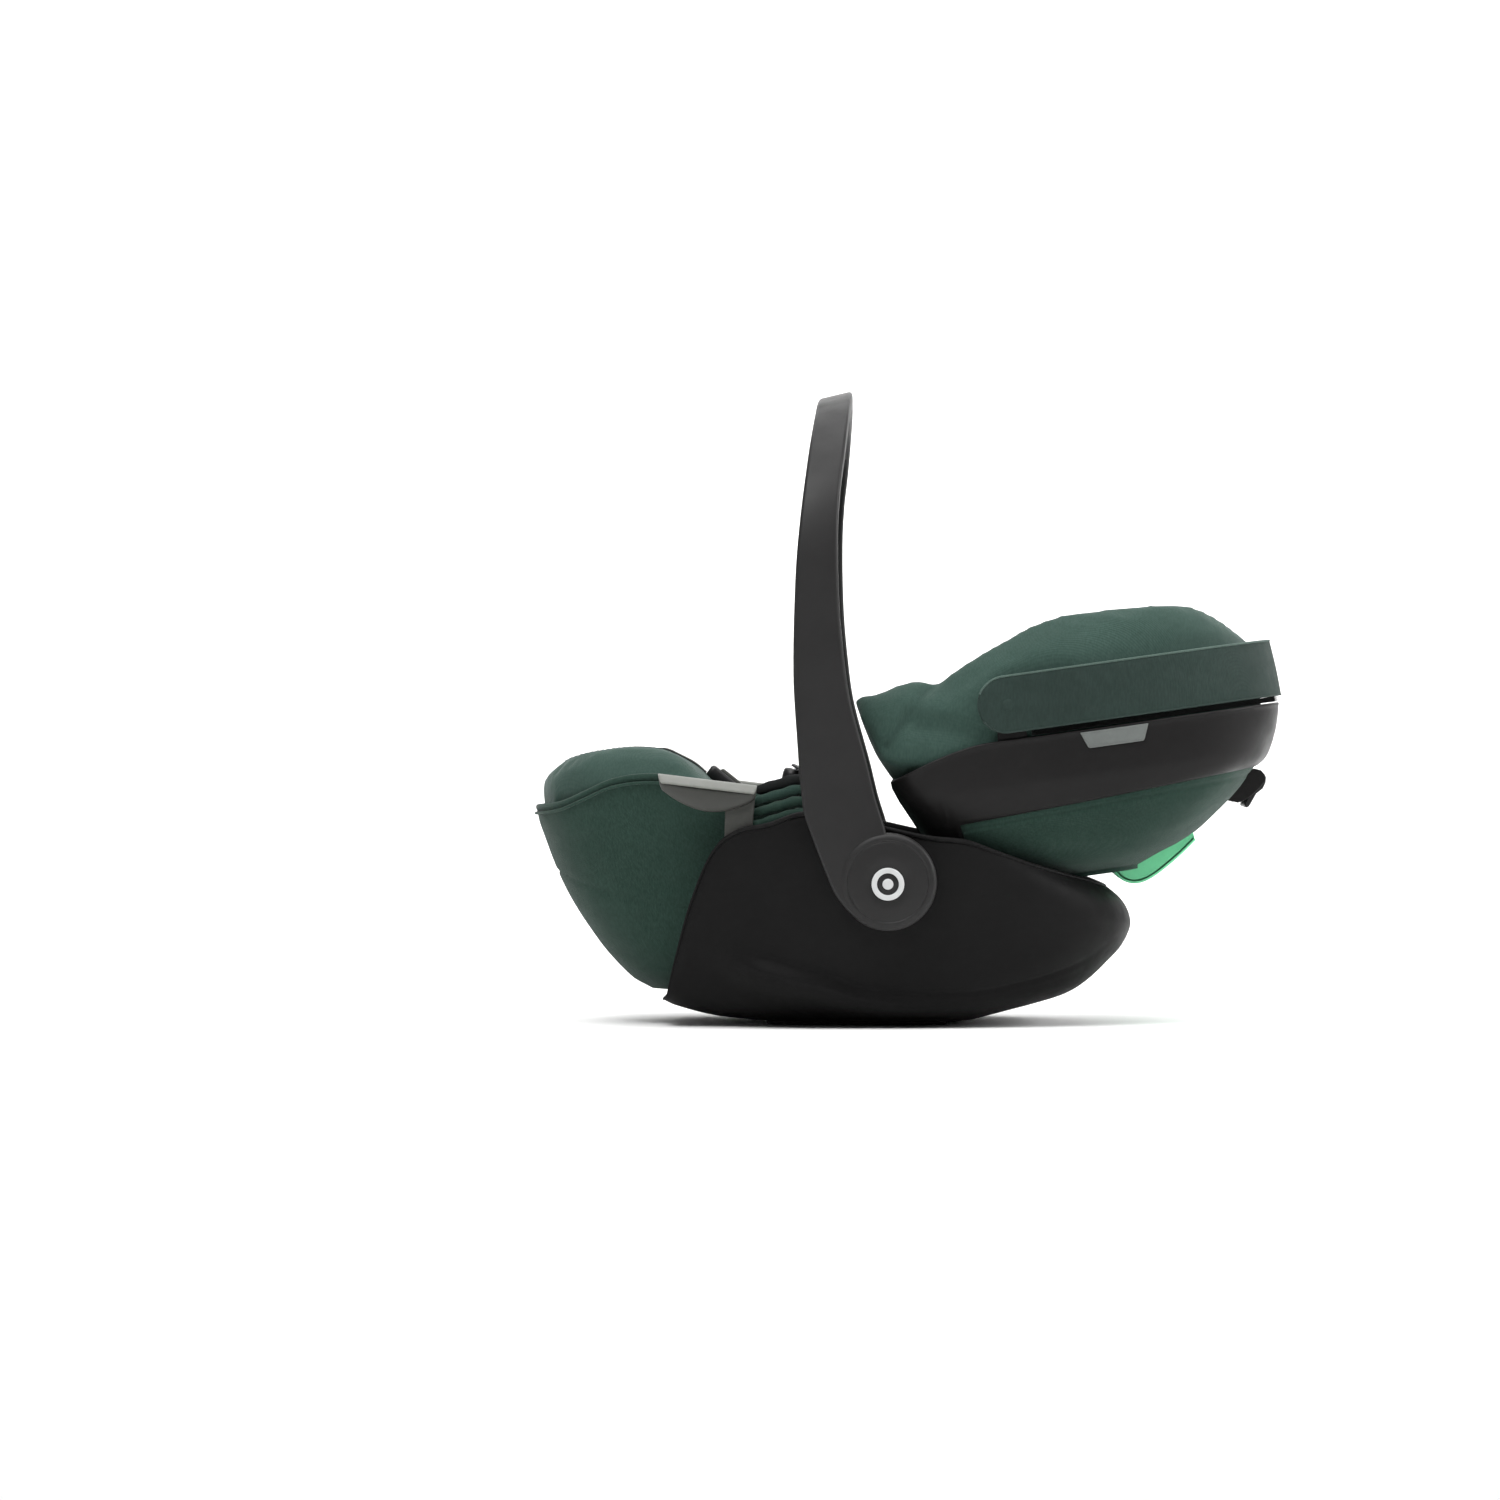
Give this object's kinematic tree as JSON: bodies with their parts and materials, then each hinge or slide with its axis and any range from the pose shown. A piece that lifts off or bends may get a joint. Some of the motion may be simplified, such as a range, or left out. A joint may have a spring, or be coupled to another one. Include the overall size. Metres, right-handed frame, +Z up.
{
  "type": "infant car seat",
  "caption": "Rear-facing infant car seat with a rocker shell, a lie-flat backrest, a swinging carry handle, a headrest and a folding sun canopy.",
  "frame": {"origin": "on the floor under the handle's pivot axis, in the middle of the seat's width, on the rubber sole's lower face", "axes": "+X from the foot end towards the head end, +Y to the child's right, +Z up; the child's left side is at -Y"},
  "size_m": [0.7065, 0.4496, 0.596],
  "materials": {
    "shell_plastic": "matte black moulded plastic",
    "handle_plastic": "matte dark grey moulded plastic",
    "grip_rubber": "soft black rubber",
    "sole_rubber": "matte rubber",
    "steel": "bright steel",
    "grey_plastic": "mid grey plastic",
    "guide_plastic": "satin grey plastic",
    "emblem_paint": "light grey inlay",
    "badge_paint": "satin grey trim",
    "buckle_plastic": "satin black plastic",
    "red_plastic": "red push button",
    "signal_plastic": "bright green plastic",
    "green_fabric": "dark green woven fabric",
    "liner_fabric": "dark green soft knit",
    "canopy_fabric_dark": "dark slate green canopy fabric",
    "webbing": "black harness webbing"
  },
  "bodies": {
    "base": {"outer_shell": "shell_plastic", "rocker_sole": "sole_rubber", "sole_screws": "steel", "base_latch_bars": "steel", "handle_boss_left": "shell_plastic", "handle_boss_right": "shell_plastic", "pivot_pin_left": "steel", "pivot_pin_right": "steel", "lock_gear_left": "grey_plastic", "lock_gear_right": "grey_plastic", "lap_belt_guide_left": "guide_plastic", "lap_belt_guide_right": "guide_plastic", "slide_rail_left": "steel", "slide_rail_right": "steel"},
    "handle": {"handle_frame": "handle_plastic", "handle_grip": "grip_rubber", "hub_cap_left": "handle_plastic", "hub_cap_right": "handle_plastic", "hub_emblems": "emblem_paint"},
    "release_left": {"release_button_left": "grey_plastic"},
    "release_right": {"release_button_right": "grey_plastic"},
    "carriage": {"seat_pan": "shell_plastic", "seat_cover": "green_fabric", "slide_shoes": "grey_plastic", "hinge_pins": "steel", "hinge_ears": "shell_plastic", "calf_pad": "green_fabric", "seat_pad": "liner_fabric", "crotch_strap": "webbing", "buckle_body": "buckle_plastic", "buckle_tongues": "steel", "adjuster_housing": "buckle_plastic", "adjuster_strap": "webbing", "hip_strap_left": "webbing", "hip_strap_right": "webbing"},
    "buckle_release": {"buckle_button": "red_plastic"},
    "strap_release": {"adjuster_button": "grey_plastic"},
    "backrest": {"back_shell": "shell_plastic", "belly_cover": "green_fabric", "hinge_lugs": "shell_plastic", "wing_bolster": "green_fabric", "back_pad": "liner_fabric", "badge_left": "badge_paint", "badge_right": "badge_paint", "rear_belt_guide": "signal_plastic", "lever_bracket": "shell_plastic", "canopy_bracket_left": "shell_plastic", "canopy_bracket_right": "shell_plastic", "headrest_rails": "steel", "shoulder_strap_left": "webbing", "shoulder_strap_right": "webbing", "shoulder_pad_left": "green_fabric", "shoulder_pad_right": "green_fabric"},
    "lever": {"recline_lever": "shell_plastic"},
    "headrest": {"headrest_shell": "shell_plastic", "headrest_pad": "green_fabric", "head_cushion": "liner_fabric"},
    "canopy": {"canopy_band": "canopy_fabric_dark", "canopy_fabric": "canopy_fabric_dark"},
    "canopy_mid": {"canopy_bow": "steel"}
  },
  "joints": [
    {"name": "handle_swing", "type": "hinge", "parent": "base", "child": "handle", "pos_m": [0, 0, 0.137], "axis": [0, 1, 0], "range_deg": [-75, 110]},
    {"name": "release_button_left", "type": "slide", "parent": "handle", "child": "release_left", "axis": [0, -1, 0], "range_m": [0, 0.004], "stiffness_N_per_m": 600, "springref_m": -0.002},
    {"name": "release_button_right", "type": "slide", "parent": "handle", "child": "release_right", "axis": [0, 1, 0], "range_m": [0, 0.004], "stiffness_N_per_m": 600, "springref_m": -0.002},
    {"name": "recline_slide", "type": "slide", "parent": "base", "child": "carriage", "axis": [1, 0, 0], "range_m": [0, 0.012]},
    {"name": "backrest_recline", "type": "hinge", "parent": "carriage", "child": "backrest", "pos_m": [0.02, 0, 0.15], "axis": [0, -1, 0], "range_deg": [0, 22]},
    {"name": "recline_lever_pull", "type": "hinge", "parent": "backrest", "child": "lever", "pos_m": [0.35113, 0, 0.23238], "axis": [0, -1, 0], "range_deg": [0, 20], "stiffness_Nm_per_rad": 1.5, "springref_deg": -8.59},
    {"name": "headrest_height", "type": "slide", "parent": "backrest", "child": "headrest", "axis": [0.9903, 0, 0.1392], "range_m": [0, 0.05]},
    {"name": "canopy_fold", "type": "hinge", "parent": "backrest", "child": "canopy", "pos_m": [0.11044, 0, 0.29953], "axis": [0, -1, 0], "range_deg": [0, 105]},
    {"name": "canopy_mid_fold", "type": "hinge", "parent": "backrest", "child": "canopy_mid", "pos_m": [0.11044, 0, 0.29953], "axis": [0, -1, 0], "range_deg": [0, 53]},
    {"name": "buckle_button_press", "type": "slide", "parent": "carriage", "child": "buckle_release", "axis": [0.9703, 0, -0.2419], "range_m": [0, 0.003], "stiffness_N_per_m": 600, "springref_m": -0.002},
    {"name": "strap_release_press", "type": "slide", "parent": "carriage", "child": "strap_release", "axis": [-0.6252, 0, -0.7804], "range_m": [0, 0.003], "stiffness_N_per_m": 600, "springref_m": -0.002}
  ],
  "couplings": [
    {"joint": "recline_slide", "follows": "backrest_recline", "m_per_rad": 0.03125},
    {"joint": "canopy_mid_fold", "follows": "canopy_fold", "ratio": 0.5}
  ]
}
